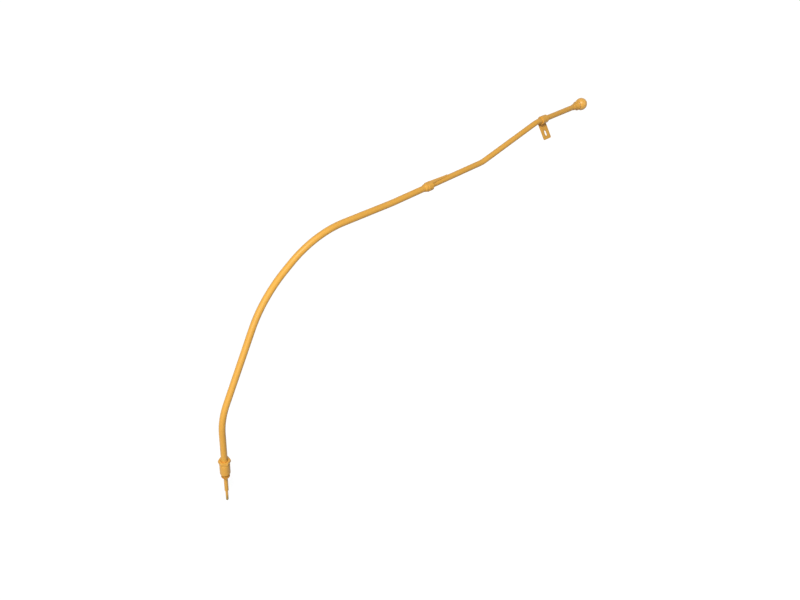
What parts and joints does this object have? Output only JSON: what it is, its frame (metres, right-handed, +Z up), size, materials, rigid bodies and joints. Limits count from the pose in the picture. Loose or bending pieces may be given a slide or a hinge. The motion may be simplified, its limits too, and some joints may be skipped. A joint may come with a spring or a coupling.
{
  "type": "engine oil dipstick with guide tube",
  "caption": "Oil dipstick in a long bent guide tube, with a screwed block fitting, a collar joint, a slotted bracket and a ball knob.",
  "frame": {"origin": "centre of the seat face on the block adapter, where the thread begins", "axes": "+Z up along the adapter, away from the engine block; +X toward the ball knob, in the plane of the bent tube; +Y to the side where the bracket plate is fixed to its sleeve"},
  "size_m": [1.2543, 0.0416, 0.8446],
  "materials": {
    "paint": "gloss",
    "steel": "satin",
    "brass": "satin",
    "rubber": "matte",
    "knob": "gloss"
  },
  "bodies": {
    "root": {"lower_guide_tube": "paint", "upper_guide_tube": "paint", "block_adapter": "paint", "port_seal": "rubber", "tube_nut": "paint", "compression_ferrule": "brass", "drop_pipe": "paint", "gauge_tip": "paint", "gauge_cable": "steel", "joint_collar": "paint", "joint_seal": "rubber", "joint_strap": "paint", "bracket_sleeve": "paint", "bracket_plate": "paint", "mouth_funnel": "paint", "mouth_seal": "rubber", "knob_plug": "steel", "plug_ring_upper": "rubber", "plug_ring_lower": "rubber", "ball_knob": "knob"}
  },
  "joints": []
}
